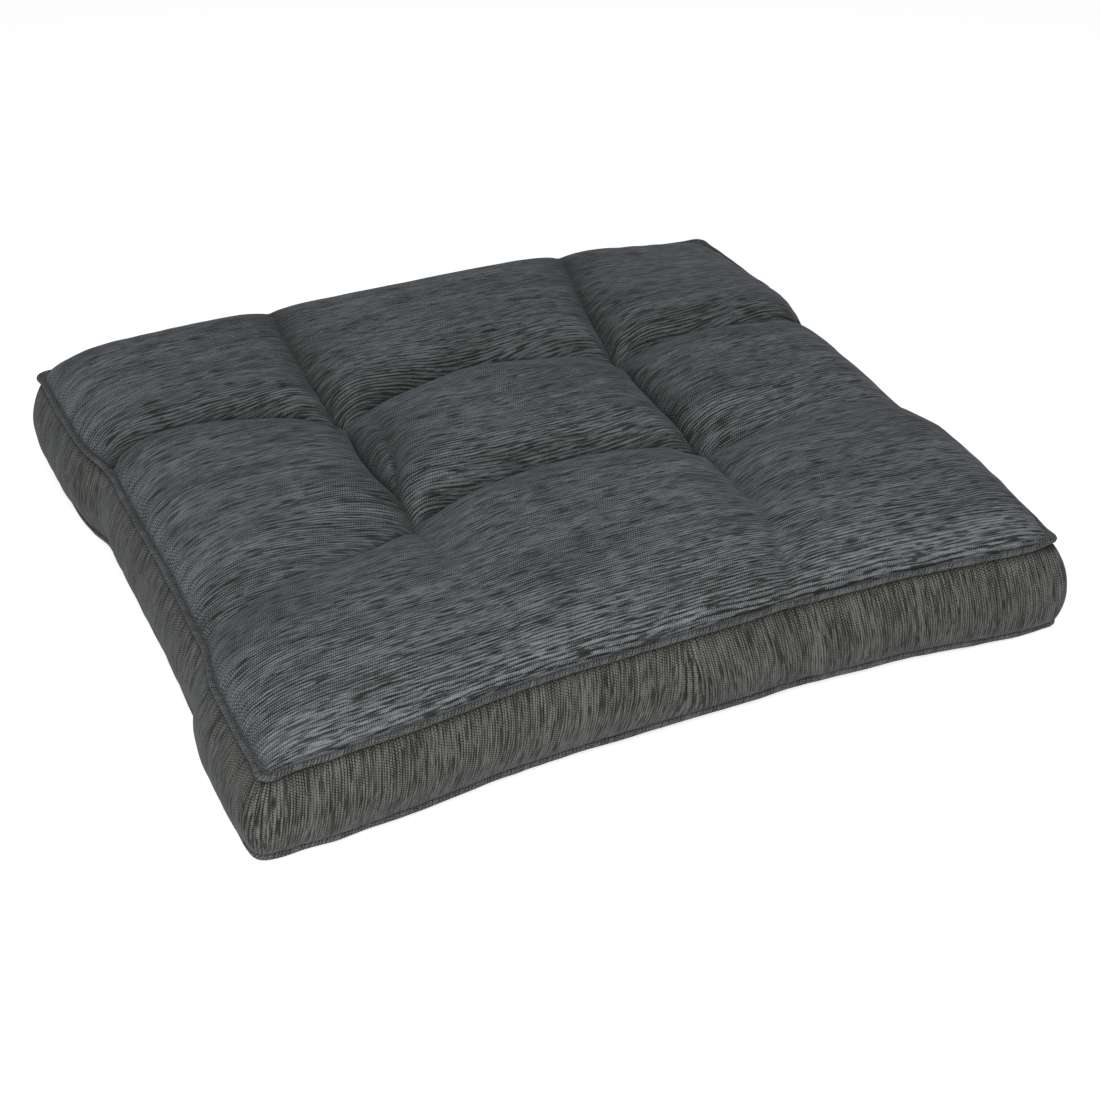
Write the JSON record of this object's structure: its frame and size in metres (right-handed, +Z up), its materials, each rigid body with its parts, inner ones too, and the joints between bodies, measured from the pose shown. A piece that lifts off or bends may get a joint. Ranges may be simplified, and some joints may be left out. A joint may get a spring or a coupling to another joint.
{
  "type": "floor cushion",
  "caption": "Rectangular boxed floor cushion with crowned tufted panels, a boxing band and piping along both seams.",
  "frame": {"origin": "on the floor under the middle of the cushion", "axes": "+Z up through the thickness, +X along the width of the front edge, the front edge faces -Y"},
  "size_m": [0.6194, 0.5696, 0.114],
  "materials": {
    "panel_fabric": "streaked slub weave, matte, streaks along the width",
    "band_fabric": "streaked slub weave, matte, streaks upright",
    "piping_fabric": "streaked slub weave cut on the slant, matte",
    "filler_cord": "soft cotton cord",
    "sewing_thread": "matte polyester thread",
    "tufting_twine": "waxed twine",
    "fibre_filling": "blown polyester fibre"
  },
  "bodies": {
    "root": {"top_panel": "panel_fabric", "bottom_panel": "panel_fabric", "side_band": "band_fabric", "top_piping_sleeve": "piping_fabric", "top_piping_cord": "filler_cord", "bottom_piping_sleeve": "piping_fabric", "bottom_piping_cord": "filler_cord", "top_seam_thread": "sewing_thread", "bottom_seam_thread": "sewing_thread", "band_joint_thread": "sewing_thread", "closing_stitches": "sewing_thread", "fibre_fill": "fibre_filling", "tuft_tie_front_left": "tufting_twine", "tuft_tie_front_right": "tufting_twine", "tuft_tie_back_left": "tufting_twine", "tuft_tie_back_right": "tufting_twine"}
  },
  "joints": []
}
